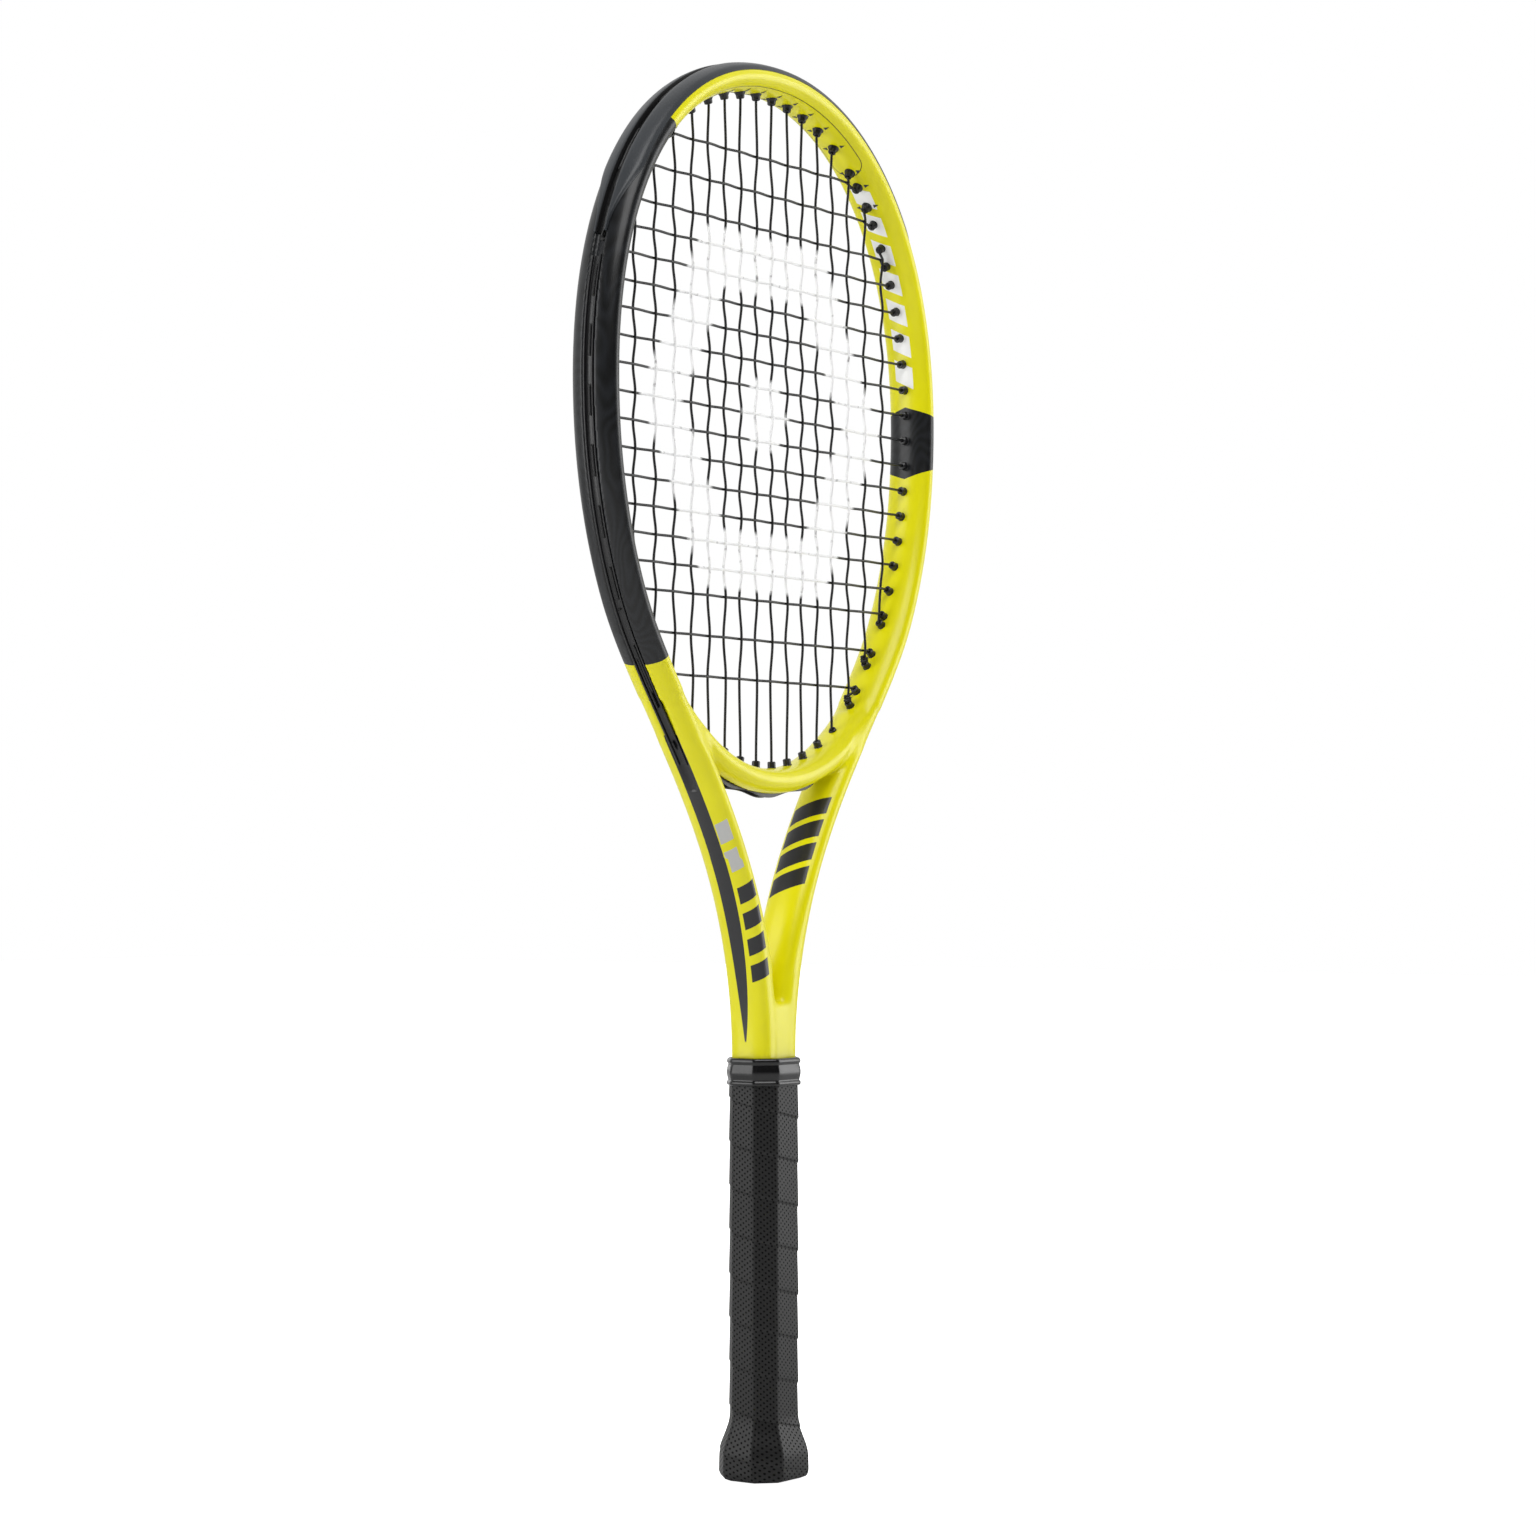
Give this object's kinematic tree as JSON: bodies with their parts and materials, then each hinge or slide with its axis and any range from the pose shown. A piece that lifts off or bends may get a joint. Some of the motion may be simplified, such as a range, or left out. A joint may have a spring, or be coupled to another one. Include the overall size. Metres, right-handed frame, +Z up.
{
  "type": "tennis racket",
  "caption": "Full-size graphite tennis racket, strung and gripped, with a sliding rubber grip collar and a snap-in butt lid.",
  "frame": {"origin": "middle of the butt end, where the handle's long axis meets the plane that the butt stands on", "axes": "+Z up the handle to the head, +X across the string bed, -Y out of the front of the string bed"},
  "size_m": [0.2762, 0.0384, 0.6858],
  "materials": {
    "frame_paint": "bright yellow satin lacquer over a carbon tube, with a black patterned side",
    "bumper": "slate grey moulded nylon, scuffed",
    "grommet": "black moulded nylon",
    "string": "black co-polyester string",
    "foam": "rigid polyurethane foam",
    "plug_foam": "dark soft foam",
    "backing_tape": "double-sided adhesive tape",
    "grip": "black perforated polyurethane wrap",
    "finishing_tape": "black vinyl tape",
    "collar_rubber": "black moulded rubber",
    "cap_plastic": "black moulded nylon",
    "staple_steel": "plain wire"
  },
  "bodies": {
    "racket": {"frame": "frame_paint", "throat_bridge": "frame_paint", "shaft_web": "frame_paint", "leg_end_plugs": "plug_foam", "bumper_guard": "bumper", "side_grommet_strip_left": "grommet", "side_grommet_strip_right": "grommet", "throat_grommet_strip": "grommet", "main_strings": "string", "cross_strings": "string", "tie_off_knots": "string", "handle_pallet": "foam", "grip_backing_tape": "backing_tape", "grip_wrap": "grip", "grip_start_staple": "staple_steel", "grip_finishing_tape": "finishing_tape", "butt_cap": "cap_plastic", "butt_cap_staples": "staple_steel"},
    "collar": {"grip_collar": "collar_rubber"},
    "lid": {"butt_cap_door": "cap_plastic"}
  },
  "joints": [
    {"name": "collar_slide", "type": "slide", "parent": "racket", "child": "collar", "axis": [0, 0, 1], "range_m": [0, 0.012]},
    {"name": "lid_pull", "type": "slide", "parent": "racket", "child": "lid", "axis": [0, 0, -1], "range_m": [0, 0.012]}
  ]
}
